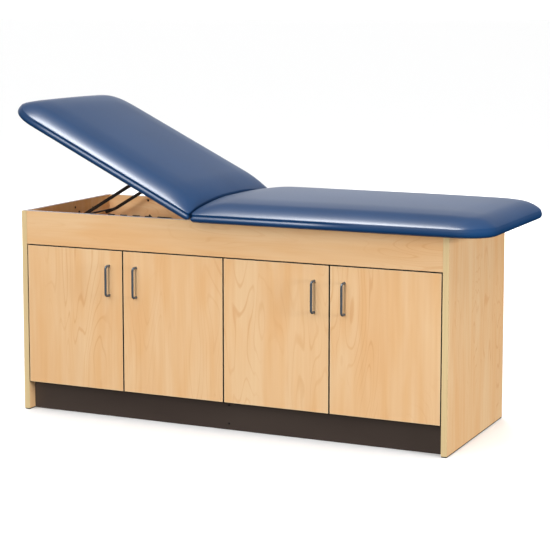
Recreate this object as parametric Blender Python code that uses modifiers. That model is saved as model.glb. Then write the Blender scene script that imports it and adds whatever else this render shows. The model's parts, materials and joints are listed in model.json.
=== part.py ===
"""Medical exam table: a laminate cabinet with four doors under a two-piece vinyl top.

The head end of the top is a backrest. It lifts on two hinges and stands on a prop, whose feet step along two
notched racks in a tray inside the cabinet. Metres, +Z up. X runs along the table with the head end at -X, and
the doors face -Y. The origin is on the floor under the middle of the cabinet.
"""

import math

import bmesh
import bpy
from mathutils import Matrix, Vector

# Driving dimensions: cabinet
CABINET_LENGTH = 1.560
CABINET_DEPTH = 0.579
CABINET_HEIGHT = 0.702
PANEL = 0.020  # end panels
BOARD = 0.019  # doors and front rail
INNER = 0.016  # deck, shelves, tray floor, back and plinth boards
PARTITION = 0.018
SLEEPER_WIDTH = 0.080
DOOR_BOTTOM = 0.100
DOOR_GAP = 0.003
RAIL_BOTTOM = 0.5865
KICK_RECESS = 0.035
TRAY_FLOOR_TOP = 0.612
SHELF_HEIGHT = 0.345
SHELF_SETBACK = 0.045
CROSS_RAIL_SETBACK = 0.009  # from the seam, under the seat
DOOR_COUNT = 4

# Driving dimensions: padded top and backrest
PAD_FRONT_Y = -0.357
PAD_REAR_Y = 0.310
SEAM_X = -0.089
FOOT_END_X = 0.926
BACKREST_LENGTH = 0.774
BACKREST_ANGLE = math.radians(26.2)
PAD_BOARD = 0.021
PAD_CROWN = 0.081
BOARD_SEAM_GAP = 0.0046  # from the hinge pin to each board's end
FOAM_SEAM_GAP = 0.0055  # from the hinge pin to each cushion, at the pin's height
BOARD_INSET = 0.0025  # of the boards, from the outline of the cushions
PIN_ABOVE_BOARDS = 0.001
SEAT_CORNER = 0.065
BACKREST_CORNER = 0.090
SEAM_RELIEF = math.radians(27.0)

# Driving dimensions: prop and racks
PROP_SPACING = 0.220
PROP_PIVOT_ALONG = 0.305  # from the backrest's hinge pin towards the head
PROP_PIVOT_BELOW = 0.034
PROP_FOOT = Vector((-0.676, 0.0, 0.6575))
PROP_KNEE = Vector((-0.637, 0.0, 0.6735))
PROP_BAR_WIDTH = 0.011
PROP_BAR_THICKNESS = 0.006
RACK_TOP = 0.651
RACK_NOTCH = 0.014
RACK_PITCH = 0.0517
RACK_TOOTH = 0.027
RACK_TEETH = 5
RACK_FIRST_TOOTH_X = -0.671

# Fits
TOUCH = 0.0003
PIN_CLEARANCE = 0.0003
EDGE_BAND = 0.001
GLIDE = 0.003
GLIDE_INSET = 0.001
DOOR_BUMPER = 0.0025  # between a closed door and the boards behind it
EDGE_ROUND = 0.0006
THROUGH = 0.01  # how far a cutting tool runs past the board it cuts

# Places that follow from the driving dimensions
HEAD_X = -CABINET_LENGTH / 2
FOOT_X = CABINET_LENGTH / 2
FRONT_Y = -CABINET_DEPTH / 2
BACK_Y = CABINET_DEPTH / 2
INSIDE_HEAD_X = HEAD_X + PANEL
INSIDE_FOOT_X = FOOT_X - PANEL
BACK_PANEL_Y = BACK_Y - INNER
BEHIND_DOORS_Y = FRONT_Y + BOARD + DOOR_BUMPER
PAD_BOTTOM = CABINET_HEIGHT + TOUCH
HINGE_PIN_Z = PAD_BOTTOM + PAD_BOARD + PIN_ABOVE_BOARDS
HINGE_PIN = Vector((SEAM_X, 0.0, HINGE_PIN_Z))
DOOR_TOP = RAIL_BOTTOM - DOOR_GAP
DOOR_WIDTH = (CABINET_LENGTH - 2 * PANEL - (DOOR_COUNT + 1) * DOOR_GAP) / DOOR_COUNT

COLOURS = {
    "laminate": ((0.71, 0.49, 0.27), 0.45, 0.0),
    "edge_band": ((0.86, 0.74, 0.50), 0.45, 0.0),
    "kick": ((0.035, 0.022, 0.018), 0.5, 0.0),
    "black_plastic": ((0.01, 0.01, 0.01), 0.5, 0.0),
    "vinyl": ((0.018, 0.07, 0.17), 0.35, 0.0),
    "plywood": ((0.50, 0.34, 0.18), 0.7, 0.0),
    "black_steel": ((0.015, 0.015, 0.017), 0.4, 0.6),
    "gunmetal": ((0.16, 0.15, 0.15), 0.35, 0.9),
    "zinc": ((0.62, 0.62, 0.63), 0.3, 1.0),
}


def clear_scene():
    for obj in list(bpy.data.objects):
        bpy.data.objects.remove(obj, do_unlink=True)


def make_collection(name):
    collection = bpy.data.collections.new(name)
    bpy.context.scene.collection.children.link(collection)
    return collection


def make_material(name):
    colour, roughness, metallic = COLOURS[name]
    material = bpy.data.materials.new(name)
    material.use_nodes = True
    shader = material.node_tree.nodes["Principled BSDF"]
    shader.inputs["Base Color"].default_value = (*colour, 1.0)
    shader.inputs["Roughness"].default_value = roughness
    shader.inputs["Metallic"].default_value = metallic
    return material


clear_scene()
PARTS = make_collection("medical_exam_table")
CUTTERS = make_collection("cutters")
MATERIALS = {name: make_material(name) for name in COLOURS}


def add_object(name, mesh, material, parent=None, collection=None):
    """Link a mesh as a named object; its coordinates are the parent's, or the world's without one."""
    obj = bpy.data.objects.new(name, mesh)
    (collection or PARTS).objects.link(obj)
    if material:
        mesh.materials.append(MATERIALS[material])
    if parent:
        obj.parent = parent
    return obj


def finish_mesh(name, bm, smooth_angle=None):
    bmesh.ops.recalc_face_normals(bm, faces=bm.faces)
    mesh = bpy.data.meshes.new(name)
    bm.to_mesh(mesh)
    bm.free()
    if smooth_angle:
        mesh.shade_smooth()
        mesh.set_sharp_from_angle(angle=smooth_angle)
    return mesh


def add_box(name, low, high, material, parent=None, edge=0.0, collection=None):
    """A board from its low corner to its high corner, with its edges eased by edge."""
    low, high = Vector(low), Vector(high)
    bm = bmesh.new()
    scale = Matrix.Diagonal((*(high - low), 1.0))
    bmesh.ops.create_cube(bm, size=1.0, matrix=scale)
    obj = add_object(name, finish_mesh(name, bm), material, parent, collection)
    obj.location = (low + high) / 2
    if edge:
        bevel = obj.modifiers.new("eased_edges", "BEVEL")
        bevel.width = edge
        bevel.segments = 2
    return obj


def add_cylinder(name, start, end, radius, material, parent=None, sides=24, collection=None):
    """A round bar from start to end."""
    start, end = Vector(start), Vector(end)
    axis = end - start
    bm = bmesh.new()
    bmesh.ops.create_cone(
        bm, cap_ends=True, segments=sides, radius1=radius, radius2=radius, depth=axis.length
    )
    turn = axis.to_track_quat("Z", "Y").to_matrix()
    bmesh.ops.rotate(bm, verts=bm.verts, matrix=turn)
    mesh = finish_mesh(name, bm, smooth_angle=math.radians(40))
    obj = add_object(name, mesh, material, parent, collection)
    obj.location = (start + end) / 2
    return obj


def add_plate(name, outline, y_low, y_high, material, parent=None):
    """A flat plate from an outline in X and Z, as thick as y_low to y_high."""
    bm = bmesh.new()
    verts = [bm.verts.new((x, y_low, z)) for x, z in outline]
    face = bm.faces.new(verts)
    sides = bmesh.ops.extrude_face_region(bm, geom=[face])
    moved = [item for item in sides["geom"] if isinstance(item, bmesh.types.BMVert)]
    bmesh.ops.translate(bm, verts=moved, vec=(0.0, y_high - y_low, 0.0))
    return add_object(name, finish_mesh(name, bm), material, parent)


def hide_tool(tool):
    tool.hide_render = True
    tool.display_type = "WIRE"


def combine(obj, tool, operation):
    """Join a tool to an object, or cut the tool out of it."""
    boolean = obj.modifiers.new(tool.name, "BOOLEAN")
    boolean.operation = operation
    boolean.object = tool
    boolean.solver = "EXACT"
    hide_tool(tool)


def bore(obj, name, start, end, radius, parent=None, sides=24):
    tool = add_cylinder(name, start, end, radius, None, parent, sides, CUTTERS)
    combine(obj, tool, "DIFFERENCE")


def join_box(obj, name, low, high, parent=None):
    combine(obj, add_box(name, low, high, None, parent, collection=CUTTERS), "UNION")


def add_axis(name, location, turn=0.0):
    """An empty on a joint's axis, which the moving pieces hang from."""
    empty = bpy.data.objects.new(name, None)
    PARTS.objects.link(empty)
    empty.location = location
    empty.rotation_euler = (0.0, turn, 0.0)
    return empty


def arc(centre, radius, start, end, steps):
    """Points on an arc in a plane, from one angle to another."""
    return [
        (
            centre[0] + radius * math.cos(start + (end - start) * i / steps),
            centre[1] + radius * math.sin(start + (end - start) * i / steps),
        )
        for i in range(steps + 1)
    ]


# Cabinet


def build_case():
    for end, outer, inner in (("head", HEAD_X, INSIDE_HEAD_X), ("foot", FOOT_X, INSIDE_FOOT_X)):
        low_x, high_x = sorted((outer, inner))
        add_box(
            f"end_panel_{end}",
            (low_x, FRONT_Y + EDGE_BAND + TOUCH, GLIDE + TOUCH),
            (high_x, BACK_Y, CABINET_HEIGHT),
            "laminate",
            edge=EDGE_ROUND,
        )
        add_box(
            f"edge_band_{end}",
            (low_x, FRONT_Y, GLIDE + TOUCH),
            (high_x, FRONT_Y + EDGE_BAND, CABINET_HEIGHT),
            "edge_band",
        )
        add_box(
            f"floor_strip_{end}",
            (low_x + GLIDE_INSET, FRONT_Y + GLIDE_INSET, 0.0),
            (high_x - GLIDE_INSET, BACK_Y - GLIDE_INSET, GLIDE),
            "black_plastic",
        )
    left, right = INSIDE_HEAD_X + TOUCH, INSIDE_FOOT_X - TOUCH
    add_box(
        "front_rail",
        (left, FRONT_Y, RAIL_BOTTOM),
        (right, FRONT_Y + BOARD, CABINET_HEIGHT),
        "laminate",
        edge=EDGE_ROUND,
    )
    add_box(
        "back_panel",
        (left, BACK_PANEL_Y, DOOR_BOTTOM + INNER + TOUCH),
        (right, BACK_Y, CABINET_HEIGHT),
        "laminate",
        edge=EDGE_ROUND,
    )
    add_box(
        "bottom_deck", (left, BEHIND_DOORS_Y, DOOR_BOTTOM), (right, BACK_Y, DOOR_BOTTOM + INNER), "laminate"
    )
    inside_y = BACK_PANEL_Y - TOUCH
    tray_low = TRAY_FLOOR_TOP - INNER
    add_box(
        "tray_floor",
        (left, FRONT_Y + BOARD + TOUCH, tray_low),
        (right, inside_y, TRAY_FLOOR_TOP),
        "laminate",
    )
    cross_rail_x = SEAM_X + CROSS_RAIL_SETBACK
    add_box(
        "seat_cross_rail",
        (cross_rail_x, FRONT_Y + BOARD + TOUCH, TRAY_FLOOR_TOP + TOUCH),
        (cross_rail_x + INNER, inside_y, CABINET_HEIGHT),
        "laminate",
    )
    deck_top = DOOR_BOTTOM + INNER + TOUCH
    half = PARTITION / 2
    add_box(
        "centre_partition", (-half, BEHIND_DOORS_Y, deck_top), (half, inside_y, tray_low - TOUCH), "laminate"
    )
    shelf_front = BEHIND_DOORS_Y + SHELF_SETBACK
    for end, low_x, high_x in (("head", left, -half - TOUCH), ("foot", half + TOUCH, right)):
        add_box(
            f"shelf_{end}",
            (low_x, shelf_front, SHELF_HEIGHT - INNER),
            (high_x, inside_y, SHELF_HEIGHT),
            "laminate",
        )


def build_plinth():
    left, right = INSIDE_HEAD_X + TOUCH, INSIDE_FOOT_X - TOUCH
    kick_y = FRONT_Y + KICK_RECESS
    top = DOOR_BOTTOM - TOUCH
    add_box("toe_kick", (left, kick_y, 0.0), (right, kick_y + INNER, top), "kick", edge=EDGE_ROUND)
    add_box("rear_plinth_rail", (left, BACK_PANEL_Y, 0.0), (right, BACK_Y, top), "laminate")
    add_box(
        "centre_sleeper",
        (-SLEEPER_WIDTH / 2, kick_y + INNER + TOUCH, 0.0),
        (SLEEPER_WIDTH / 2, BACK_PANEL_Y - TOUCH, top),
        "laminate",
    )


# Doors

CUP_INSET = 0.0225
CUP_RADIUS = 0.0175
CUP_DEPTH = 0.0115
CUP_FROM_END = 0.090
CUP_RIM = 0.0012
EAR_HALF_WIDTH = 0.008
EAR_HALF_HEIGHT = 0.028
EAR_RISE = 0.0016
PULL_CENTRES = 0.1016
PULL_RADIUS = 0.004
PULL_REACH = 0.026
PULL_BEND = 0.010
PULL_INSET = 0.0508
PULL_BELOW_TOP = 0.053
ARM_START = 0.0045
ARM_LENGTH = 0.062
ARM_WIDTH = 0.0115
ARM_HEIGHT = 0.014
ARM_PLATE = 0.003
ARM_PLATE_HEIGHT = 0.052
ARM_PLATE_RUN = (0.020, 0.052)  # along the arm


def add_pull(name, x, z_top, y_face, parent):
    """A wire pull: two posts out of the door and a straight grip between them."""
    z_low = z_top - PULL_CENTRES
    y_grip = y_face - PULL_REACH
    quarter = math.pi / 2
    path = [(y_face - TOUCH, z_top)]
    path += arc((y_grip + PULL_BEND, z_top - PULL_BEND), PULL_BEND, quarter, 2 * quarter, 4)
    path += arc((y_grip + PULL_BEND, z_low + PULL_BEND), PULL_BEND, 2 * quarter, 3 * quarter, 4)
    path.append((y_face - TOUCH, z_low))
    curve = bpy.data.curves.new(name, "CURVE")
    curve.dimensions = "3D"
    curve.bevel_depth = PULL_RADIUS
    curve.bevel_resolution = 2
    curve.use_fill_caps = True
    spline = curve.splines.new("POLY")
    spline.points.add(len(path) - 1)
    for point, (y, z) in zip(spline.points, path):
        point.co = (x, y, z, 1.0)
    curve.materials.append(MATERIALS["gunmetal"])
    pull = bpy.data.objects.new(name, curve)
    PARTS.objects.link(pull)
    pull.parent = parent


def add_concealed_hinge(label, door, axis, side, z, support_gap):
    """A cup let into the door's back, and the arm on the upright beside it.

    side is +1 where the door runs towards +X from its hinge edge. support_gap is how far the upright's face
    is from the door's hinge edge, towards the door.
    """
    x = side * CUP_INSET
    back = BOARD
    bore(
        door,
        f"cup_bore_{label}",
        (x, back - CUP_DEPTH - 2 * TOUCH, z),
        (x, back + THROUGH, z),
        CUP_RADIUS + PIN_CLEARANCE,
        axis,
        32,
    )
    cup_ends = ((x, back - CUP_DEPTH, z), (x, back + CUP_RIM, z))
    cup = add_cylinder(f"hinge_cup_{label}", *cup_ends, CUP_RADIUS, "zinc", axis, 32)
    join_box(
        cup,
        f"cup_ears_{label}",
        (x - EAR_HALF_WIDTH, back + TOUCH, z - EAR_HALF_HEIGHT),
        (x + EAR_HALF_WIDTH, back + EAR_RISE, z + EAR_HALF_HEIGHT),
        parent=axis,
    )
    base = axis.location
    near, far = sorted((side * (support_gap + TOUCH), side * (support_gap + TOUCH + ARM_WIDTH)))
    y_start = base.y + back + ARM_START
    arm = add_box(
        f"hinge_arm_{label}",
        (base.x + near, y_start, base.z + z - ARM_HEIGHT / 2),
        (base.x + far, y_start + ARM_LENGTH, base.z + z + ARM_HEIGHT / 2),
        "zinc",
    )
    plate_far = side * (support_gap + TOUCH + ARM_PLATE)
    low, high = sorted((side * (support_gap + TOUCH), plate_far))
    plate_start, plate_end = ARM_PLATE_RUN
    join_box(
        arm,
        f"arm_plate_{label}",
        (base.x + low, y_start + plate_start, base.z + z - ARM_PLATE_HEIGHT / 2),
        (base.x + high, y_start + plate_end, base.z + z + ARM_PLATE_HEIGHT / 2),
    )


def build_doors():
    """Doors 1 to 4 from the head end: the outer two hinge on the end panels, the inner two on the middle."""
    for index in range(DOOR_COUNT):
        number = index + 1
        low_x = INSIDE_HEAD_X + DOOR_GAP + index * (DOOR_WIDTH + DOOR_GAP)
        side = 1 if index % 2 == 0 else -1
        hinge_x = low_x if side == 1 else low_x + DOOR_WIDTH
        axis = add_axis(f"door_{number}_axis", (hinge_x, FRONT_Y, DOOR_BOTTOM))
        height = DOOR_TOP - DOOR_BOTTOM
        near, far = sorted((0.0, side * DOOR_WIDTH))
        door = add_box(
            f"door_{number}", (near, 0.0, 0.0), (far, BOARD, height), "laminate", axis, edge=EDGE_ROUND
        )
        add_pull(f"pull_{number}", side * (DOOR_WIDTH - PULL_INSET), height - PULL_BELOW_TOP, 0.0, axis)
        support_gap = -DOOR_GAP if number in (1, DOOR_COUNT) else (PARTITION - DOOR_GAP) / 2
        for place, z in (("low", CUP_FROM_END), ("high", height - CUP_FROM_END)):
            add_concealed_hinge(f"{number}_{place}", door, axis, side, z, support_gap)


# Padded top


SMALLEST_CORNER = 0.012


def pad_outline(sign, seam, length, corner, inset, steps=6):
    """Plan outline of a pad from its seam: square at the seam, round at the far corners."""
    front, rear = PAD_FRONT_Y + inset, PAD_REAR_Y - inset
    far = length - inset
    radius = max(corner - inset, SMALLEST_CORNER)
    quarter = math.pi / 2
    points = [(seam, front)]
    points += arc((far - radius, front + radius), radius, -quarter, 0.0, steps)
    points += arc((far - radius, rear - radius), radius, 0.0, quarter, steps)
    points.append((seam, rear))
    return [(sign * x, y) for x, y in points]


def add_pad_solid(name, rings, material, parent=None, location=None):
    """A solid lofted through plan outlines, each one given with its height."""
    bm = bmesh.new()
    loops = [[bm.verts.new((x, y, z)) for x, y in outline] for outline, z in rings]
    for lower, upper in zip(loops, loops[1:]):
        for i in range(len(lower)):
            j = (i + 1) % len(lower)
            bm.faces.new((lower[i], lower[j], upper[j], upper[i]))
    bm.faces.new(loops[0][::-1])
    bm.faces.new(loops[-1])
    obj = add_object(name, finish_mesh(name, bm), material, parent)
    if location:
        obj.location = location
    return obj


# Height above the pad's underside, and inset from its outline, of each ring of the crowned foam
CROWN_RINGS = (
    (PAD_BOARD + TOUCH, 0.0),
    (0.026, 0.0),
    (0.042, 0.009),
    (0.060, 0.040),
    (0.073, 0.100),
    (PAD_CROWN, 0.200),
)


def build_pad(name, sign, length, corner, parent=None):
    """A plywood board and its crowned cushion, drawn from the hinge pin outwards."""
    place = None if parent else HINGE_PIN
    bottom = PAD_BOTTOM - HINGE_PIN_Z
    board = pad_outline(sign, BOARD_SEAM_GAP, length, corner, BOARD_INSET)
    rings = [(board, bottom), (board, bottom + PAD_BOARD)]
    add_pad_solid(f"{name}_board", rings, "plywood", parent, place)
    rings = []
    for height, inset in CROWN_RINGS:
        z = bottom + height
        seam = FOAM_SEAM_GAP + max(z, 0.0) * math.tan(SEAM_RELIEF)
        rings.append((pad_outline(sign, seam, length, corner, inset), z))
    add_pad_solid(f"{name}_cushion", rings, "vinyl", parent, place)


LEAF_HALF = 0.0375
LEAF_THICKNESS = 0.002
LEAF_OFFSET = 0.0022
KNUCKLE_RADIUS = 0.004
KNUCKLE_PIN = 0.0025
PIN_PAST_KNUCKLES = 0.0015
LEAF_BOTTOM = -0.020  # from the pin
LEAF_TOP = -0.0046
TAB_BOTTOM = -0.006
TOP_HINGE_Y = 0.200
KNUCKLES = (-LEAF_HALF, -LEAF_HALF / 3, LEAF_HALF / 3, LEAF_HALF)


def add_leaf(name, sign, y, knuckles, parent=None, place=None):
    """One leaf of a butt hinge on a board's end, with knuckles round the pin at its top."""
    base = Vector(place or (0.0, 0.0, 0.0))
    near, far = sorted((sign * LEAF_OFFSET, sign * (LEAF_OFFSET + LEAF_THICKNESS)))
    leaf = add_box(
        name,
        base + Vector((near, y - LEAF_HALF, LEAF_BOTTOM)),
        base + Vector((far, y + LEAF_HALF, LEAF_TOP)),
        "zinc",
        parent,
    )
    for number, (low, high) in enumerate(knuckles):
        low, high = y + low + PIN_CLEARANCE, y + high - PIN_CLEARANCE
        tab_low = base + Vector((near, low, TAB_BOTTOM))
        join_box(leaf, f"{name}_tab_{number}", tab_low, base + Vector((far, high, 0.0)), parent)
        start, end = base + Vector((0.0, low, 0.0)), base + Vector((0.0, high, 0.0))
        barrel = add_cylinder(
            f"{name}_barrel_{number}", start, end, KNUCKLE_RADIUS, None, parent, 20, CUTTERS
        )
        combine(leaf, barrel, "UNION")
    start = base + Vector((0.0, y - LEAF_HALF - THROUGH, 0.0))
    end = base + Vector((0.0, y + LEAF_HALF + THROUGH, 0.0))
    bore(leaf, f"{name}_pin_bore", start, end, KNUCKLE_PIN + PIN_CLEARANCE, parent, 20)


def build_top_hinges(backrest_axis):
    first, second, third, fourth = KNUCKLES
    for place, y in (("front", -TOP_HINGE_Y), ("rear", TOP_HINGE_Y)):
        add_leaf(f"hinge_leaf_seat_{place}", 1, y, [(second, third)], place=HINGE_PIN)
        add_leaf(f"hinge_leaf_backrest_{place}", -1, y, [(first, second), (third, fourth)], backrest_axis)
        reach = LEAF_HALF + PIN_PAST_KNUCKLES
        start = HINGE_PIN + Vector((0.0, y - reach, 0.0))
        end = HINGE_PIN + Vector((0.0, y + reach, 0.0))
        add_cylinder(f"hinge_pin_{place}", start, end, KNUCKLE_PIN, "zinc", sides=16)


# Prop and racks

PIVOT_RADIUS = 0.0025
ROD_RADIUS = 0.003
ROD_PAST_BARS = 0.004
BRACKET_THICKNESS = 0.0025
BRACKET_HALF_LENGTH = 0.030
BRACKET_WIDTH = 0.020
EAR_THICKNESS = 0.003
EAR_REACH = 0.012  # of an ear along the backrest, to each side of its bolt
EAR_BELOW_BOLT = 0.010
BOLT_TAIL = 0.004
BOLT_HEAD = 0.004
BOLT_HEAD_RADIUS = 0.0065
RACK_HEAD_RUN = 0.032  # plain rail before the first tooth
RACK_FOOT_RUN = 0.055  # plain rail from the last tooth on
PIVOT_SIDES = (("front", -1), ("rear", 1))


def strip_outline(points, half_width, steps=8):
    """Outline of a strip with round ends along a bent centre line in X and Z."""
    line = [Vector((p.x, p.z)) for p in points]
    runs = [(b - a).normalized() for a, b in zip(line, line[1:])]
    normals = [Vector((-run.y, run.x)) for run in runs]
    start = math.atan2(normals[0].y, normals[0].x)
    outline = arc(line[0], half_width, start, start + math.pi, steps)
    for i in range(1, len(line) - 1):
        middle = (normals[i - 1] + normals[i]).normalized()
        reach = half_width / middle.dot(normals[i])
        outline.append(tuple(line[i] - middle * reach))
    end = math.atan2(-normals[-1].y, -normals[-1].x)
    outline += arc(line[-1], half_width, end, end + math.pi, steps)
    for i in range(len(line) - 2, 0, -1):
        middle = (normals[i - 1] + normals[i]).normalized()
        reach = half_width / middle.dot(normals[i])
        outline.append(tuple(line[i] + middle * reach))
    return outline


def build_prop(backrest_axis):
    local_pivot = Vector((-PROP_PIVOT_ALONG, 0.0, -PROP_PIVOT_BELOW))
    turn = Matrix.Rotation(BACKREST_ANGLE, 3, "Y")
    pivot = HINGE_PIN + turn @ local_pivot
    prop_axis = add_axis("prop_axis", pivot)
    centre_line = [Vector((0.0, 0.0, 0.0)), PROP_KNEE - pivot, PROP_FOOT - pivot]
    knee = centre_line[1]
    reach = PROP_SPACING / 2 + PROP_BAR_THICKNESS + ROD_PAST_BARS
    for place, side in PIVOT_SIDES:
        y_in = side * PROP_SPACING / 2
        y_out = y_in + side * PROP_BAR_THICKNESS
        bar = add_plate(
            f"prop_bar_{place}",
            strip_outline(centre_line, PROP_BAR_WIDTH / 2),
            min(y_in, y_out),
            max(y_in, y_out),
            "black_steel",
            prop_axis,
        )
        ends = ((0.0, y_in - side * THROUGH, 0.0), (0.0, y_out + side * THROUGH, 0.0))
        bore(bar, f"pivot_bore_{place}", *ends, PIVOT_RADIUS + PIN_CLEARANCE, prop_axis)
        ends = ((knee.x, y_in - side * THROUGH, knee.z), (knee.x, y_out + side * THROUGH, knee.z))
        bore(bar, f"rod_bore_{place}", *ends, ROD_RADIUS + PIN_CLEARANCE, prop_axis)
        add_bracket(place, side, y_in, y_out, local_pivot, backrest_axis)
    rod_ends = ((knee.x, -reach, knee.z), (knee.x, reach, knee.z))
    add_cylinder("prop_cross_rod", *rod_ends, ROD_RADIUS, "black_steel", prop_axis)


def add_bracket(place, side, y_in, y_out, pivot, backrest_axis):
    """An angle bracket under the backrest board, with the bolt that the bar turns on."""
    underside = PAD_BOTTOM - HINGE_PIN_Z - TOUCH
    ear_in = y_in - side * (TOUCH + EAR_THICKNESS)
    ear_out = y_in - side * TOUCH
    near, far = sorted((ear_out, ear_in - side * BRACKET_WIDTH))
    bracket = add_box(
        f"prop_bracket_{place}",
        (pivot.x - BRACKET_HALF_LENGTH, near, underside - BRACKET_THICKNESS),
        (pivot.x + BRACKET_HALF_LENGTH, far, underside),
        "black_steel",
        backrest_axis,
    )
    join_box(
        bracket,
        f"bracket_ear_{place}",
        (pivot.x - EAR_REACH, min(ear_in, ear_out), pivot.z - EAR_BELOW_BOLT),
        (pivot.x + EAR_REACH, max(ear_in, ear_out), underside - TOUCH),
        backrest_axis,
    )
    ends = ((pivot.x, ear_in - side * THROUGH, pivot.z), (pivot.x, ear_out + side * THROUGH, pivot.z))
    bore(bracket, f"ear_bore_{place}", *ends, PIVOT_RADIUS + PIN_CLEARANCE, backrest_axis)
    shank = ((pivot.x, ear_in - side * BOLT_TAIL, pivot.z), (pivot.x, y_out + side * BOLT_HEAD / 2, pivot.z))
    bolt = add_cylinder(f"prop_bolt_{place}", *shank, PIVOT_RADIUS, "zinc", backrest_axis)
    head = ((pivot.x, y_out + side * TOUCH, pivot.z), (pivot.x, y_out + side * BOLT_HEAD, pivot.z))
    tool = add_cylinder(f"bolt_head_{place}", *head, BOLT_HEAD_RADIUS, None, backrest_axis, 6, CUTTERS)
    combine(bolt, tool, "UNION")


def build_racks():
    """Two steel racks on the tray floor, each a foot rail with square teeth."""
    base = RACK_TOP - RACK_NOTCH
    bottom = TRAY_FLOOR_TOP + TOUCH
    start = RACK_FIRST_TOOTH_X - RACK_HEAD_RUN
    end = RACK_FIRST_TOOTH_X + (RACK_TEETH - 1) * RACK_PITCH + RACK_FOOT_RUN
    outline = [(start, bottom), (end, bottom), (end, RACK_TOP)]
    for tooth in reversed(range(RACK_TEETH)):
        tooth_x = RACK_FIRST_TOOTH_X + tooth * RACK_PITCH
        if tooth < RACK_TEETH - 1:
            outline += [(tooth_x + RACK_TOOTH, base), (tooth_x + RACK_TOOTH, RACK_TOP)]
        outline += [(tooth_x, RACK_TOP), (tooth_x, base)]
    outline.append((start, base))
    for place, side in PIVOT_SIDES:
        y_in = side * PROP_SPACING / 2
        y_out = y_in + side * PROP_BAR_THICKNESS
        add_plate(f"prop_rack_{place}", outline, min(y_in, y_out), max(y_in, y_out), "black_steel")


def build_top():
    build_pad("seat", 1, FOOT_END_X - SEAM_X, SEAT_CORNER)
    backrest_axis = add_axis("backrest_axis", HINGE_PIN, BACKREST_ANGLE)
    build_pad("backrest", -1, BACKREST_LENGTH, BACKREST_CORNER, backrest_axis)
    build_top_hinges(backrest_axis)
    build_prop(backrest_axis)
    build_racks()


build_case()
build_plinth()
build_doors()
build_top()
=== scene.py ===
import json
import math

import bmesh
import bpy
import numpy as np
from mathutils import Matrix, Vector


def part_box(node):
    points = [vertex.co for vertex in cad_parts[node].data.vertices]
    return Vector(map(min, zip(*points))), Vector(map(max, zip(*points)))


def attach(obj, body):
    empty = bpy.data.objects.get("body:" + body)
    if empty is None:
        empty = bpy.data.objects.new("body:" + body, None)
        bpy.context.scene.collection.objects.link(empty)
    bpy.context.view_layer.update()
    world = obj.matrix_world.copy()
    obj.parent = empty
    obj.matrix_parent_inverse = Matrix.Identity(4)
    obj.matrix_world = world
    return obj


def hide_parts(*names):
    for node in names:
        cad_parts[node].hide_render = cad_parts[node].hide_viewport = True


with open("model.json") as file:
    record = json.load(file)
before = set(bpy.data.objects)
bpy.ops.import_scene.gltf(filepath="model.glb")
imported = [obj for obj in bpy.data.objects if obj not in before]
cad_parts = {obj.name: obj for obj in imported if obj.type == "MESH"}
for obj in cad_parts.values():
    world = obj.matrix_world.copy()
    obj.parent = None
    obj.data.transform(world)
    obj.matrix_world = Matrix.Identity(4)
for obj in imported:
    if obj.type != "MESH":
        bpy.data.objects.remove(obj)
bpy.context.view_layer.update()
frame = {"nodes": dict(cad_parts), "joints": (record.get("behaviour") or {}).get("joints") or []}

NODES = frame["nodes"]
JOINTS = {joint["name"]: joint for joint in frame["joints"]}
HINGE_PIN = Vector(JOINTS["backrest_tilt"]["pos_m"])
BACKREST_ANGLE = math.radians(-JOINTS["backrest_tilt"]["range_deg"][0])
BACKREST_PLACE = Matrix.Translation(HINGE_PIN) @ Matrix.Rotation(BACKREST_ANGLE, 4, "Y")
SEAT_PLACE = Matrix.Translation(HINGE_PIN)
CABINET_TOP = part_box("front_rail")[1].z


# Camera, light and floor

CAMERA_AT = (2.4373, -5.1478, 1.3964)
CAMERA_TURN = math.radians(24.842)
CAMERA_DOWN = math.radians(6.829)
CAMERA_LENS = 109.55
CAMERA_SHIFT = -0.12
SENSOR_WIDTH = 36.0
FLOOR_SIZE = 400.0
FLOOR_DROP = 0.0005


def make_camera():
    data = bpy.data.cameras.new("camera")
    data.lens = CAMERA_LENS
    data.sensor_width = SENSOR_WIDTH
    data.shift_y = CAMERA_SHIFT
    data.clip_end = 1.25 * FLOOR_SIZE
    camera = bpy.data.objects.new("camera", data)
    camera.location = CAMERA_AT
    camera.rotation_euler = (math.pi / 2 - CAMERA_DOWN, 0.0, CAMERA_TURN)
    bpy.context.scene.collection.objects.link(camera)
    bpy.context.scene.camera = camera


def add_light(kind, name, at, target, power, part, **settings):
    """A lamp that faces its target, and lights either the glossy or the diffuse part of each surface."""
    data = bpy.data.lights.new(name, kind)
    data.energy = power
    for setting, value in settings.items():
        setattr(data, setting, value)
    if kind == "AREA":
        data.shape = "RECTANGLE"
    light = bpy.data.objects.new(name, data)
    light.location = at
    light.rotation_euler = (Vector(target) - Vector(at)).to_track_quat("-Z", "Y").to_euler()
    light.visible_glossy = part == "glossy"
    light.visible_diffuse = part == "diffuse"
    bpy.context.scene.collection.objects.link(light)


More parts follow.
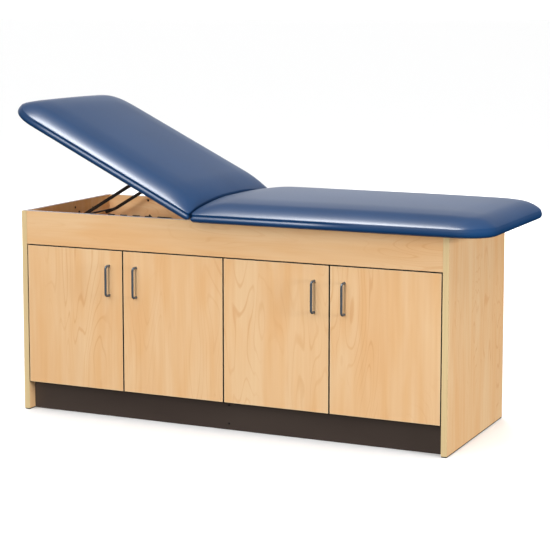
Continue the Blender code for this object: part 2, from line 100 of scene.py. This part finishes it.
def make_world():
    """A dim studio with a bright wall behind the table to the left; the camera itself sees it all white."""
    world = bpy.data.worlds.new("studio")
    bpy.context.scene.world = world
    world.use_nodes = True
    tree = world.node_tree

    def node(kind, *inputs, **settings):
        made = tree.nodes.new(kind)
        for key, value in settings.items():
            setattr(made, key, value)
        for socket, value in zip(made.inputs, inputs):
            if isinstance(value, bpy.types.NodeSocket):
                tree.links.new(value, socket)
            else:
                socket.default_value = value
        return made.outputs

    way = node("ShaderNodeSeparateXYZ", node("ShaderNodeTexCoord")["Generated"])
    left = node("ShaderNodeMapRange", way["X"], 0.16, -0.34, 0.0, 1.0)["Result"]
    back = node("ShaderNodeMapRange", way["Y"], 0.2, 0.6, 0.0, 1.0)["Result"]
    low = node("ShaderNodeMapRange", way["Z"], 0.10, 0.62, 1.35, 0.0)["Result"]
    wall = node("ShaderNodeMath", left, back, operation="MULTIPLY")["Value"]
    wall = node("ShaderNodeMath", wall, low, operation="MULTIPLY")["Value"]
    room = node("ShaderNodeMapRange", way["Z"], 0.0, 1.0, 0.12, 0.50)["Result"]
    light = node("ShaderNodeMath", wall, room, operation="ADD")["Value"]
    above = node("ShaderNodeMapRange", way["Z"], -0.04, 0.0, 0.05, 1.0)["Result"]
    light = node("ShaderNodeMath", light, above, operation="MULTIPLY")["Value"]
    seen = node("ShaderNodeLightPath")["Is Camera Ray"]
    light = node("ShaderNodeMath", light, seen, operation="MAXIMUM")["Value"]
    tree.links.new(light, tree.nodes["Background"].inputs["Strength"])
    tree.nodes["Background"].inputs["Color"].default_value = (1.0, 1.0, 1.0, 1.0)


def make_light():
    make_world()
    middle = (0.0, 0.0, 0.45)
    add_light("AREA", "strip", (-0.45, -1.35, 3.2), (0.0, -0.3, 0.75), 170.0, "glossy", size=0.9, size_y=0.7)
    add_light("AREA", "front", (0.3, -7.0, 1.5), middle, 215.0, "diffuse", size=0.7, size_y=0.7)
    add_light("AREA", "wide", (-0.6, -4.5, 2.4), middle, 80.0, "diffuse", size=4.0, size_y=2.2)
    add_light("AREA", "side", (7.0, -1.4, 1.4), middle, 385.0, "diffuse", size=1.8, size_y=1.8)
    add_light("AREA", "behind", (-3.0, 6.0, 2.4), middle, 330.0, "diffuse", size=3.0, size_y=2.0)
    add_light("SUN", "overhead", (0.0, 0.0, 4.0), (0.0, 0.0, 0.0), 2.0, "diffuse", angle=1.5)
    bpy.context.scene.view_settings.view_transform = "Standard"


def make_floor():
    """A white floor that takes shadows; it is left out of what other surfaces reflect."""
    bpy.ops.mesh.primitive_plane_add(size=FLOOR_SIZE, location=(0.0, 0.0, -FLOOR_DROP))
    floor = bpy.context.object
    floor.name = "floor"
    material = bpy.data.materials.new("floor")
    material.use_nodes = True
    shader = material.node_tree.nodes["Principled BSDF"]
    shader.inputs["Base Color"].default_value = (0.96, 0.96, 0.96, 1.0)
    shader.inputs["Roughness"].default_value = 0.9
    shader.inputs["Specular IOR Level"].default_value = 0.1
    floor.data.materials.append(material)
    floor.visible_glossy = False
    floor.visible_diffuse = False


# Materials


class Paint:
    """A material whose node tree is built up one call at a time."""

    def __init__(self, name, **sockets):
        self.material = bpy.data.materials.new(name)
        self.material.use_nodes = True
        self.tree = self.material.node_tree
        self.shader = self.tree.nodes["Principled BSDF"]
        for socket, value in sockets.items():
            self.shader.inputs[socket.replace("_", " ")].default_value = value

    def add(self, kind, inputs=None, **settings):
        node = self.tree.nodes.new(kind)
        for key, value in settings.items():
            setattr(node, key, value)
        for key, value in (inputs or {}).items():
            self.feed(node.inputs[key], value)
        return node

    def feed(self, socket, value):
        if isinstance(value, bpy.types.NodeSocket):
            self.tree.links.new(value, socket)
        else:
            socket.default_value = value

    def place(self, scale=(1.0, 1.0, 1.0), shift=(0.0, 0.0, 0.0)):
        coordinates = self.add("ShaderNodeTexCoord").outputs["Object"]
        node = self.add("ShaderNodeMapping", {"Vector": coordinates, "Scale": scale, "Location": shift})
        return node.outputs["Vector"]

    def noise(self, vector, scale, detail=2.0, roughness=0.5, distortion=0.0):
        inputs = {
            "Vector": vector,
            "Scale": scale,
            "Detail": detail,
            "Roughness": roughness,
            "Distortion": distortion,
        }
        return self.add("ShaderNodeTexNoise", inputs).outputs["Fac"]

    def math(self, operation, a, b=0.0, clamp=False):
        node = self.add("ShaderNodeMath", {0: a, 1: b}, operation=operation, use_clamp=clamp)
        return node.outputs[0]

    def span(self, value, low, high, to_low=0.0, to_high=1.0):
        inputs = {"Value": value, "From Min": low, "From Max": high, "To Min": to_low, "To Max": to_high}
        return self.add("ShaderNodeMapRange", inputs).outputs["Result"]

    def mix(self, share, a, b, blend="MIX"):
        node = self.add("ShaderNodeMix", data_type="RGBA", blend_type=blend)
        self.feed(node.inputs[0], share)
        self.feed(node.inputs[6], a)
        self.feed(node.inputs[7], b)
        return node.outputs[2]

    def bump(self, height, strength, distance):
        inputs = {"Height": height, "Strength": strength, "Distance": distance}
        self.feed(self.shader.inputs["Normal"], self.add("ShaderNodeBump", inputs).outputs["Normal"])

    def set(self, socket, value):
        self.feed(self.shader.inputs[socket], value)


def tone(red, green, blue):
    """An sRGB colour in 0 to 255 as the linear colour that a shader takes."""

    def linear(value):
        value /= 255.0
        return value / 12.92 if value <= 0.04045 else ((value + 0.055) / 1.055) ** 2.4

    return (linear(red), linear(green), linear(blue), 1.0)


MAPLE_LIGHT = tone(231, 196, 152)
MAPLE_MID = tone(226, 180, 129)
MAPLE_LINE = tone(206, 146, 92)
RAW_EDGE = tone(176, 168, 172)
# Pale colour painted along the doors' eased edges as a painted highlight
PAINTED_EDGE_HIGHLIGHT = tone(246, 222, 184)
# Dark edge banding of the doors, also painted onto their faces as shade in the door gaps
DOOR_BANDING_AND_GAP_SHADE = tone(34, 21, 15)
RAW_EDGE_DEPTH = 0.002


def laminate(name, grain, seed, door=None, top_edge=False):
    """Maple laminate with its figure drawn out along the grain axis."""
    paint = Paint(name)
    paint.set("Specular IOR Level", 0.3)

    def drawn(along, turn=0):
        stretch = [1.0, 1.0, 1.0]
        stretch["XYZ".index(grain)] = along
        shift = (3.7 * seed, 1.9 * seed + 5.0, 2.3 * seed)
        return paint.place(stretch, shift[turn:] + shift[:turn])

    cloud = paint.span(paint.noise(drawn(0.14), 16.0, 2.0, 0.5, 0.4), 0.36, 0.66)
    wide = paint.span(paint.noise(drawn(0.2, 1), 5.0, 1.0), 0.35, 0.65)
    streak = paint.span(paint.noise(drawn(0.035), 85.0, 3.0, 0.6), 0.35, 0.7)
    field = paint.noise(drawn(0.16, 2), 10.0, 1.5, 0.4, 0.5)
    rings = paint.math("SINE", paint.math("MULTIPLY", field, 110.0))
    line = paint.span(rings, 0.8, 1.0)
    patch = paint.span(paint.noise(drawn(0.3, 1), 4.5, 1.0), 0.48, 0.66)
    colour = paint.mix(cloud, MAPLE_LIGHT, MAPLE_MID)
    colour = paint.mix(paint.math("MULTIPLY", wide, 0.35), colour, MAPLE_MID)
    colour = paint.mix(paint.math("MULTIPLY", streak, 0.16), colour, MAPLE_LINE)
    colour = paint.mix(paint.math("MULTIPLY", paint.math("MULTIPLY", line, patch), 0.42), colour, MAPLE_LINE)
    # Doors get dark edge banding carried onto the face as painted gap shade, and a painted edge highlight
    if door:
        colour = edged(paint, colour, door)
    if top_edge:
        colour = topped(paint, colour)
    paint.set("Base Color", colour)
    paint.set("Roughness", paint.span(streak, 0.0, 1.0, 0.38, 0.48))
    paint.bump(streak, 0.06, 0.0003)
    return paint.material


def edged(paint, colour, box):
    """The dark banding on a door's edges, carried onto its face as painted shade of the gaps, and a painted
    highlight line inside it along the eased edge.
    """
    low, high = box
    place = paint.add("ShaderNodeSeparateXYZ", {"Vector": paint.place()})
    inside = []
    for axis, value in (("X", 0), ("Z", 2)):
        inside.append(paint.math("SUBTRACT", place.outputs[axis], low[value]))
        inside.append(paint.math("SUBTRACT", high[value], place.outputs[axis]))
    near = paint.math("MINIMUM", paint.math("MINIMUM", *inside[:2]), paint.math("MINIMUM", *inside[2:]))
    # Painted highlight: a pale line that fades in from 3.4 mm inside each door edge
    colour = paint.mix(paint.span(near, 0.0034, 0.0016, 0.0, 0.45), colour, PAINTED_EDGE_HIGHLIGHT)
    # Dark edge banding over the edge faces, fading onto the door's face within 1.4 mm of the edge as painted
    # shade of the gaps
    return paint.mix(paint.span(near, 0.0014, 0.0011), colour, DOOR_BANDING_AND_GAP_SHADE)


def topped(paint, colour):
    """The grey raw edge along the top of the box."""
    geometry = paint.add("ShaderNodeNewGeometry")
    up = paint.add("ShaderNodeSeparateXYZ", {"Vector": geometry.outputs["True Normal"]}).outputs["Z"]
    high = paint.add("ShaderNodeSeparateXYZ", {"Vector": paint.place()}).outputs["Z"]
    level = paint.math("GREATER_THAN", high, CABINET_TOP - RAW_EDGE_DEPTH)
    return paint.mix(paint.math("MULTIPLY", paint.math("GREATER_THAN", up, 0.7), level), colour, RAW_EDGE)


def edge_band():
    """Pale banding with faint lengthwise lines."""
    paint = Paint("edge_band", Roughness=0.45)
    line = paint.noise(paint.place((1.0, 1.0, 0.01)), 420.0, 1.0)
    broad = paint.noise(paint.place((1.0, 1.0, 0.1)), 30.0, 2.0)
    colour = paint.mix(paint.span(line, 0.35, 0.65), tone(214, 190, 142), tone(222, 196, 148))
    paint.set("Base Color", paint.mix(paint.span(broad, 0.4, 0.8, 0.0, 0.4), colour, tone(206, 176, 126)))
    paint.bump(line, 0.1, 0.0003)
    return paint.material


def kick_laminate():
    """Dark brown laminate with a fine pebbled surface."""
    paint = Paint("toe_kick")
    broad = paint.noise(paint.place((0.3, 1.0, 1.0)), 6.0, 3.0)
    pebble = paint.noise(paint.place(), 900.0, 2.0, 0.6)
    colour = paint.mix(paint.span(broad, 0.3, 0.7), tone(62, 52, 47), tone(70, 60, 54))
    paint.set("Base Color", paint.mix(paint.span(pebble, 0.5, 0.9, 0.0, 0.25), colour, tone(84, 74, 68)))
    paint.set("Roughness", paint.span(pebble, 0.2, 0.8, 0.42, 0.6))
    paint.bump(pebble, 0.15, 0.0004)
    return paint.material


def vinyl():
    """Blue upholstery vinyl: soft gloss over a fine pebble grain."""
    paint = Paint("vinyl")
    paint.set("Specular IOR Level", 0.5)
    broad = paint.noise(paint.place(), 3.5, 2.0)
    cells = paint.add(
        "ShaderNodeTexVoronoi", {"Vector": paint.place(), "Scale": 520.0, "Randomness": 0.9}
    ).outputs["Distance"]
    fine = paint.noise(paint.place(), 1400.0, 2.0, 0.6)
    colour = paint.mix(paint.span(broad, 0.3, 0.7), tone(17, 55, 96), tone(22, 61, 104))
    paint.set("Base Color", paint.mix(paint.span(cells, 0.2, 0.7, 0.0, 0.12), colour, tone(13, 44, 78)))
    paint.set("Roughness", paint.span(fine, 0.2, 0.8, 0.36, 0.44))
    grain = paint.math("ADD", cells, paint.math("MULTIPLY", fine, 0.4))
    paint.bump(grain, 0.05, 0.0004)
    return paint.material


def metal(name, colour, roughness, metallic):
    """Plated or coated steel, with fine unevenness in its gloss."""
    paint = Paint(name, Metallic=metallic)
    speck = paint.noise(paint.place(), 300.0, 3.0, 0.6)
    broad = paint.noise(paint.place(), 25.0, 2.0)
    darker = tuple(0.82 * part for part in colour[:3]) + (1.0,)
    paint.set("Base Color", paint.mix(paint.span(broad, 0.3, 0.7), colour, darker))
    paint.set("Roughness", paint.span(speck, 0.2, 0.8, roughness - 0.06, roughness + 0.08))
    paint.bump(speck, 0.1, 0.0003)
    return paint.material


def plywood_face():
    """Raw plywood with long soft streaks."""
    paint = Paint("plywood", Roughness=0.7)
    streak = paint.noise(paint.place((0.05, 1.0, 1.0)), 60.0, 4.0, 0.6)
    paint.set("Base Color", paint.mix(paint.span(streak, 0.3, 0.7), tone(205, 172, 128), tone(178, 140, 98)))
    paint.bump(streak, 0.2, 0.0005)
    return paint.material


def black_plastic():
    """Black plastic, slightly uneven."""
    paint = Paint("black_plastic", Roughness=0.55)
    speck = paint.noise(paint.place(), 600.0, 2.0)
    paint.set("Base Color", paint.mix(paint.span(speck, 0.3, 0.7), tone(22, 20, 20), tone(34, 31, 30)))
    paint.bump(speck, 0.2, 0.0003)
    return paint.material


def dress(node, material):
    data = NODES[node].data
    data.materials.clear()
    data.materials.append(material)


# Mesh helpers


def link(name, data, material):
    obj = bpy.data.objects.new(name, data)
    bpy.context.scene.collection.objects.link(obj)
    data.materials.append(material)
    return obj


def finished(bm, name):
    """The working mesh as a new mesh with its faces turned outwards."""
    bmesh.ops.recalc_face_normals(bm, faces=bm.faces)
    mesh = bpy.data.meshes.new(name)
    bm.to_mesh(mesh)
    bm.free()
    return mesh


def add_band(bm, lower, upper):
    """A closed band of faces between two rings of points."""
    for i in range(len(lower)):
        j = (i + 1) % len(lower)
        bm.faces.new((lower[i], lower[j], upper[j], upper[i]))


def arc(centre, radius, start, end, steps):
    """Points on an arc in a plane, from one angle to another."""
    return [
        (
            centre[0] + radius * math.cos(start + (end - start) * i / steps),
            centre[1] + radius * math.sin(start + (end - start) * i / steps),
        )
        for i in range(steps + 1)
    ]


def evaluated_copy(obj):
    """The object's mesh with its modifiers applied, as a new mesh."""
    graph = bpy.context.evaluated_depsgraph_get()
    return bpy.data.meshes.new_from_object(obj.evaluated_get(graph))


def settle(obj):
    """Replaces the object's mesh with its evaluated one and drops its modifiers."""
    mesh = evaluated_copy(obj)
    obj.modifiers.clear()
    obj.data = mesh


# Padded top

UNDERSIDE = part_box("seat_board")[0].z - HINGE_PIN.z
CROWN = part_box("seat_cushion")[1].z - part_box("seat_board")[0].z
SHOULDER = 0.0283  # height at which the foam's crown starts
SHOULDER_REACH = 0.066
SHOULDER_POWER = 0.80
SHOULDER_SHARE = 0.55
ROUND_REACH = 0.15
ROUND_POWER = 1.3
ROUND_SHARE = 0.24
DOME_SHARE = 0.21
SEAM_REACH = 0.120  # how far from the seam its end wall shapes the crown
SEAM_SHARE = 0.70
SEAM_RUN = 0.27
SEAM_POWER = 1.7
SEAM_GAP = 0.0006
SEAM_CORNER = 0.009
LEAN_REACH = 0.16
SIDE_POINTS = 90
END_POINTS = 36
CORNER_STEPS = 10
SEAM_CORNER_STEPS = 4
UNDERSIDE_INSETS = (0.30, 0.22, 0.14, 0.09)
RING_COUNT = 30
RING_LAST = 0.318
RING_POWER = 1.6
BOARD_SEAM_GAP = 0.0046  # of the plywood board from the hinge pin
BORDER = 0.038  # width of the cover turned in under the board
PLATE = 0.003
PLATE_EDGE = 0.0006

# Swelling of the covers
SWELL = 0.004
SWELL_CAP = 0.008
EVENING = 30
HOLD_FADE = 0.015
SEAM_HOLD = 0.020
SEAM_FADE = 0.040
CLOTH_FRAMES = 20

# Section of the rolled edge: height, then inset with a creased roll and with a plain one.
EDGE_SECTION = (
    (0.0008, 0.0600, 0.0600),
    (0.0008, 0.0300, 0.0300),
    (0.0008, 0.0130, 0.0130),
    (0.0014, 0.0080, 0.0080),
    (0.0044, 0.0030, 0.0030),
    (0.0085, 0.0006, 0.0006),
    (0.0120, 0.0000, 0.0000),
    (0.0142, 0.0003, 0.0000),
    (0.0160, 0.0012, 0.0001),
    (0.0184, 0.0028, 0.0003),
    (0.0206, 0.0042, 0.0006),
    (0.0218, 0.0047, 0.0009),
    (0.0232, 0.0042, 0.0013),
    (0.0252, 0.0034, 0.0018),
    (SHOULDER, 0.0030, 0.0030),
)


def flat_corners(node, place):
    """Lowest and highest corner of a CAD node in the frame of a pad lying flat."""
    back = place.inverted()
    points = np.array([back @ vertex.co for vertex in NODES[node].data.vertices])
    return points.min(0), points.max(0)


class Pad:
    """A pad lying flat: x runs from the seam at the hinge pin to the far end, z up from the pin."""

    def __init__(self, name, place, sign, corner, tilt, crease, end_dome):
        low, high = flat_corners(name + "_cushion", place)
        self.name, self.place, self.sign = name, place, sign
        self.corner, self.tilt, self.crease, self.end_dome = corner, tilt, crease, end_dome
        self.front, self.rear = float(low[1]), float(high[1])
        self.middle, self.half = (self.front + self.rear) / 2, (self.rear - self.front) / 2
        self.length = float(max(abs(low[0]), abs(high[0])))

    def outline(self, seam, inset):
        """Plan points round the pad, the same number for any inset, the rear side mirroring the front."""
        front, rear, far = self.front + inset, self.rear - inset, self.length - inset
        left = 1.0 - inset / self.half
        radius, small = self.corner * left, SEAM_CORNER * left
        quarter = math.pi / 2
        points = spread((seam + small, front), (far - radius, front), SIDE_POINTS)[:-1]
        points += arc((far - radius, front + radius), radius, -quarter, 0.0, CORNER_STEPS)
        points += spread((far, front + radius), (far, rear - radius), END_POINTS)[1:-1]
        points += arc((far - radius, rear - radius), radius, 0.0, quarter, CORNER_STEPS)
        points += spread((far - radius, rear), (seam + small, rear), SIDE_POINTS)[1:]
        self.rear_start = len(points) - 1
        points += arc((seam + small, rear - small), small, quarter, 2 * quarter, SEAM_CORNER_STEPS)[1:]
        points += spread((seam, rear - small), (seam, front + small), END_POINTS)[1:-1]
        points += arc((seam + small, front + small), small, 2 * quarter, 3 * quarter, SEAM_CORNER_STEPS)[:-1]
        return points

    def inset_at(self, x, y):
        """How far a plan point lies inside the pad's front, rear and far edges and round corners."""
        side = self.half - abs(y - self.middle)
        past_x = x - (self.length - self.corner)
        past_y = self.corner - side
        if past_x > 0.0 and past_y > 0.0:
            return self.corner - math.hypot(past_x, past_y)
        return min(side, self.length - x)

    def rise(self, x, y):
        """Share of the crown's full height: a firm shoulder, a wider round and a long slow dome."""
        start = EDGE_SECTION[-1][1]
        side = max(self.half - abs(y - self.middle) - start, 0.0)
        end = max(self.length - start - x, 0.0)
        inset = max(self.inset_at(x, y) - start, 0.0)
        shoulder = (1.0 - max(1.0 - inset / SHOULDER_REACH, 0.0) ** 2) ** SHOULDER_POWER
        across = max(1.0 - side / ROUND_REACH, 0.0)
        along = max(1.0 - end / ROUND_REACH, 0.0)
        rounding = max(1.0 - across * across - along * along, 0.0) ** ROUND_POWER
        dome = 1.0 - (1.0 - side / (self.half - start)) ** 2
        dome *= 1.0 - max(1.0 - end / self.end_dome, 0.0) ** 2
        body = SHOULDER_SHARE * shoulder + ROUND_SHARE * rounding + DOME_SHARE * dome
        wall = SEAM_SHARE * (1.0 - (1.0 - min(side / SEAM_RUN, 1.0)) ** SEAM_POWER)
        near = max(1.0 - max(x, 0.0) / SEAM_REACH, 0.0) ** 2
        return math.sqrt(body * body * (1.0 - near) + wall * wall * near)

    def edge_ring(self, z, creased, plain):
        """One ring of the rolled edge; the crease over the roll fades out towards the far end."""
        start, end = self.crease
        ring = []
        shapes = (self.outline(SEAM_GAP + creased, creased), self.outline(SEAM_GAP + plain, plain))
        for with_crease, without in zip(*shapes):
            share = min(max((without[0] - start) / (end - start), 0.0), 1.0)
            share = share * share * (3.0 - 2.0 * share)
            x, y = Vector(with_crease).lerp(Vector(without), share)
            ring.append((x, y, UNDERSIDE + z))
        return ring

    def rings(self, loss):
        """The cover's closed form from its underside up; loss is what the foam will swell by."""
        bottom = EDGE_SECTION[0][0]
        rings = [self.edge_ring(bottom, inset, inset) for inset in UNDERSIDE_INSETS]
        rings += [self.edge_ring(*level) for level in EDGE_SECTION]
        full = CROWN - SHOULDER - loss
        start = EDGE_SECTION[-1][1]
        for number in range(RING_COUNT + 1):
            inset = start + (RING_LAST - start) * (number / RING_COUNT) ** RING_POWER
            plan = self.outline(SEAM_GAP + inset, inset)
            rings.append([(x, y, UNDERSIDE + SHOULDER + full * self.rise(x - SEAM_GAP, y)) for x, y in plan])
        return rings

    def close(self, bm, loop):
        """Fills a ring with faces that run across it, from its front side to its rear side."""
        last, total = self.rear_start, len(loop)
        for i in range(last // 2):
            corners = (loop[i], loop[i + 1], loop[last - i - 1], loop[last - i])
            bm.faces.new(dict.fromkeys(corners))
        for i in range((total - last) // 2):
            corners = (loop[last + i], loop[last + i + 1], loop[total - i - 1], loop[(total - i) % total])
            bm.faces.new(dict.fromkeys(corners))

    def solid(self, rings, name, material):
        """Closes a stack of plan rings into a solid."""
        bm = bmesh.new()
        loops = [[bm.verts.new(point) for point in ring] for ring in rings]
        for lower, upper in zip(loops, loops[1:]):
            add_band(bm, lower, upper)
        for loop in (loops[0], loops[-1]):
            self.close(bm, loop)
        return link(name, finished(bm, name), material)

    def lean(self, points):
        """Leans the seam's face, so that it stands upright when the pad is at its rest angle."""
        share = np.clip(1.0 - points[:, 0] / LEAN_REACH, 0.0, 1.0)
        points[:, 0] += np.clip(points[:, 2], 0.0, None) * math.tan(self.tilt) * share


def spread(start, end, count):
    """Points spaced evenly on a straight line."""
    start, end = Vector(start), Vector(end)
    return [tuple(start.lerp(end, i / (count - 1))) for i in range(count)]


def positions(mesh):
    points = np.empty(len(mesh.vertices) * 3, dtype=np.float32)
    mesh.vertices.foreach_get("co", points)
    return points.reshape(-1, 3).astype(float)


def place_points(mesh, points):
    mesh.vertices.foreach_set("co", points.astype(np.float32).ravel())
    mesh.update()


def evened(mesh, field, rounds):
    """A per-point field averaged with its neighbours over and over."""
    ends = np.empty(len(mesh.edges) * 2, dtype=np.int32)
    mesh.edges.foreach_get("vertices", ends)
    a, b = ends.reshape(-1, 2).T
    count = np.bincount(a, minlength=len(field)) + np.bincount(b, minlength=len(field))
    for _ in range(rounds):
        total = np.zeros_like(field)
        for axis in range(field.shape[1]):
            total[:, axis] += np.bincount(a, weights=field[b, axis], minlength=len(field))
            total[:, axis] += np.bincount(b, weights=field[a, axis], minlength=len(field))
        field = 0.5 * field + 0.5 * total / np.maximum(count, 1)[:, None]
    return field


def inflate(cover):
    """Lets the cover swell over its foam, held round the board and at the seam."""
    start = positions(cover.data)
    height = start[:, 2] - UNDERSIDE
    low = np.clip(1.0 - (height - SHOULDER) / HOLD_FADE, 0.0, 1.0)
    near = np.clip(1.0 - (start[:, 0] - SEAM_HOLD) / SEAM_FADE, 0.0, 1.0)
    weight = np.maximum(low, near)
    held = cover.vertex_groups.new(name="held")
    for index in np.nonzero(weight > 0.0)[0]:
        held.add([int(index)], float(weight[index]), "REPLACE")
    cloth = cover.modifiers.new("cloth", "CLOTH")
    settings = cloth.settings
    settings.quality = 5
    settings.mass = 0.3
    settings.tension_stiffness = 20.0
    settings.compression_stiffness = 20.0
    settings.bending_stiffness = 2.0
    settings.use_pressure = True
    settings.uniform_pressure_force = 4.0
    settings.vertex_group_mass = "held"
    settings.effector_weights.gravity = 0.0
    cloth.point_cache.frame_start = 1
    cloth.point_cache.frame_end = CLOTH_FRAMES
    for number in range(1, CLOTH_FRAMES + 1):
        bpy.context.scene.frame_set(number)
    swollen = evaluated_copy(cover)
    cover.modifiers.clear()
    step = positions(swollen) - start
    length = np.linalg.norm(step, axis=1, keepdims=True)
    step *= np.minimum(1.0, SWELL_CAP / np.maximum(length, 1e-9))
    place_points(cover.data, start + evened(cover.data, step, EVENING) * (1.0 - weight[:, None]))
    bpy.data.meshes.remove(swollen)
    bpy.context.scene.frame_set(1)


def make_cover(pad, body, cover_material):
    """The pad's vinyl cover, in one piece from the underside of its board to the crown of the foam."""
    cover = pad.solid(pad.rings(SWELL), pad.name + "_cover", cover_material)
    inflate(cover)
    points = positions(cover.data)
    pad.lean(points)
    points[:, 0] *= pad.sign
    place_points(cover.data, points)
    if pad.sign < 0:
        cover.data.flip_normals()
    cover.data.transform(pad.place)
    finer = cover.modifiers.new("finer", "SUBSURF")
    finer.levels = 1
    finer.render_levels = 1
    settle(cover)
    cover.data.shade_smooth()
    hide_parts(pad.name + "_cushion", pad.name + "_board")
    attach(cover, body)


def make_underside(pad, body, board_material):
    """The bottom of the plywood board, inside the turned-in border of the cover."""
    levels = ((0.0, BORDER + PLATE_EDGE), (PLATE_EDGE, BORDER), (PLATE, BORDER))
    rings = [
        [(pad.sign * x, y, UNDERSIDE + z) for x, y in pad.outline(BOARD_SEAM_GAP + inset, inset)]
        for z, inset in levels
    ]
    plate = pad.solid(rings, pad.name + "_board_face", board_material)
    plate.data.transform(pad.place)
    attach(plate, body)


def make_pad(pad, body, cover_material, board_material):
    make_cover(pad, body, cover_material)
    make_underside(pad, body, board_material)


# Door pulls

PULL_RADIUS = 0.004
PULL_BEND = 0.011
PULL_FOOT = 0.008


def make_pull(number, material):
    """A bent wire pull that stands on the door."""
    node = f"pull_{number}"
    low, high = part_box(node)
    x = (low.x + high.x) / 2
    y_grip = low.y + PULL_RADIUS
    y_face = high.y
    top, bottom = high.z - PULL_RADIUS, low.z + PULL_RADIUS
    quarter = math.pi / 2
    path = [(y_face, top), (y_face - PULL_FOOT, top)]
    path += arc((y_grip + PULL_BEND, top - PULL_BEND), PULL_BEND, quarter, 2 * quarter, 10)
    path += arc((y_grip + PULL_BEND, bottom + PULL_BEND), PULL_BEND, 2 * quarter, 3 * quarter, 10)
    path += [(y_face - PULL_FOOT, bottom), (y_face, bottom)]
    curve = bpy.data.curves.new(f"pull_wire_{number}", "CURVE")
    curve.dimensions = "3D"
    curve.bevel_depth = PULL_RADIUS
    curve.bevel_resolution = 6
    curve.use_fill_caps = True
    spline = curve.splines.new("POLY")
    spline.points.add(len(path) - 1)
    for point, (y, z) in zip(spline.points, path):
        point.co = (x, y, z, 1.0)
    wire = link(curve.name, curve, material)
    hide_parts(node)
    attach(wire, f"door_{number}")


# Screws

# Radius and height of each ring of a screw head, from its recess outwards
SCREW_PROFILE = ((0.0012, 0.0010), (0.0016, 0.0022), (0.0030, 0.0019), (0.0042, 0.0008), (0.0045, -0.0002))
SCREW_SIDES = 20
KICK_SCREW_SIZE = 0.8

# Depth behind the cabinet's front, and height
TRAY_END_SCREWS = ((0.319, 0.679), (0.442, 0.665), (0.346, 0.660))
# Distance from the cabinet's head end, and height
TRAY_BACK_SCREWS = ((0.187, 0.687), (0.193, 0.630), (0.560, 0.687), (0.566, 0.630))
KICK_SCREW_X = 0.003
KICK_SCREW_HEIGHTS = (0.083, 0.021)


def make_screw(name, at, normal, body, material, size=1.0):
    """A round-headed screw with a recess in the middle of its head."""
    bm = bmesh.new()
    rings = []
    for radius, height in SCREW_PROFILE:
        points = arc((0.0, 0.0), radius * size, 0.0, 2 * math.pi, SCREW_SIDES)[:-1]
        rings.append([bm.verts.new((x, y, height * size)) for x, y in points])
    for inner, outer in zip(rings, rings[1:]):
        add_band(bm, outer, inner)
    bm.faces.new(rings[0])
    bm.faces.new(rings[-1][::-1])
    mesh = finished(bm, name)
    mesh.shade_smooth()
    mesh.set_sharp_from_angle(angle=math.radians(40))
    screw = link(name, mesh, material)
    turn = Vector(normal).to_track_quat("Z", "Y").to_matrix().to_4x4()
    screw.data.transform(Matrix.Translation(at) @ turn)
    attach(screw, body)


def make_screws(material):
    head_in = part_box("end_panel_head")[1].x
    back_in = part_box("back_panel")[0].y
    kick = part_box("toe_kick")[0].y
    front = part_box("front_rail")[0].y
    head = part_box("end_panel_head")[0].x
    for number, (depth, z) in enumerate(TRAY_END_SCREWS):
        make_screw(f"tray_screw_head_{number}", (head_in, front + depth, z), (1, 0, 0), "cabinet", material)
    for number, (along, z) in enumerate(TRAY_BACK_SCREWS):
        make_screw(f"tray_screw_back_{number}", (head + along, back_in, z), (0, -1, 0), "cabinet", material)
    for number, z in enumerate(KICK_SCREW_HEIGHTS):
        at = (KICK_SCREW_X, kick, z)
        make_screw(f"kick_screw_{number}", at, (0, -1, 0), "cabinet", material, KICK_SCREW_SIZE)


def dress_nodes():
    """Gives every CAD node its material, and returns the black steel for the screws."""
    black = metal("black_steel", tone(30, 28, 28), 0.45, 0.3)
    zinc = metal("zinc_steel", tone(196, 198, 200), 0.3, 1.0)
    shared = {
        "edge_band_head": edge_band(),
        "toe_kick": kick_laminate(),
        "floor_strip_head": black_plastic(),
    }
    shared["edge_band_foot"] = shared["edge_band_head"]
    shared["floor_strip_foot"] = shared["floor_strip_head"]
    for node, material in shared.items():
        dress(node, material)
    # Grain axis, seed, and whether the raw top edge shows
    boards = {
        "end_panel_head": ("Z", 1.0, True),
        "end_panel_foot": ("Z", 2.3, True),
        "front_rail": ("X", 3.1, True),
        "back_panel": ("X", 4.7, True),
        "bottom_deck": ("X", 5.2, False),
        "tray_floor": ("X", 6.6, False),
        "seat_cross_rail": ("Y", 7.4, False),
        "centre_partition": ("Z", 8.8, False),
        "shelf_head": ("X", 9.1, False),
        "shelf_foot": ("X", 10.7, False),
        "rear_plinth_rail": ("X", 11.9, False),
        "centre_sleeper": ("Y", 12.4, False),
        "door_1": ("Z", 13.3, False),
        "door_2": ("Z", 14.6, False),
        "door_3": ("Z", 15.2, False),
        "door_4": ("Z", 16.9, False),
    }
    for node, (grain, seed, top) in boards.items():
        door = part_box(node) if node.startswith("door") else None
        dress(node, laminate("laminate_" + node, grain, seed, door, top))
    for node in NODES:
        if node.startswith(("prop_bar", "prop_rack", "prop_bracket", "prop_cross")):
            dress(node, black)
        elif node.startswith(("hinge_", "prop_bolt")):
            dress(node, zinc)
    return black


make_camera()
make_light()
make_floor()
black_steel = dress_nodes()
blue = vinyl()
plywood = plywood_face()
seat = Pad("seat", SEAT_PLACE, 1, 0.095, 0.0, crease=(0.40, 0.62), end_dome=0.50)
make_pad(seat, "cabinet", blue, plywood)
backrest = Pad("backrest", BACKREST_PLACE, -1, 0.100, BACKREST_ANGLE, crease=(0.58, 0.74), end_dome=0.12)
make_pad(backrest, "backrest", blue, plywood)
gunmetal = metal("gunmetal", tone(84, 94, 104), 0.34, 0.35)
for number in range(1, 5):
    make_pull(number, gunmetal)
make_screws(black_steel)
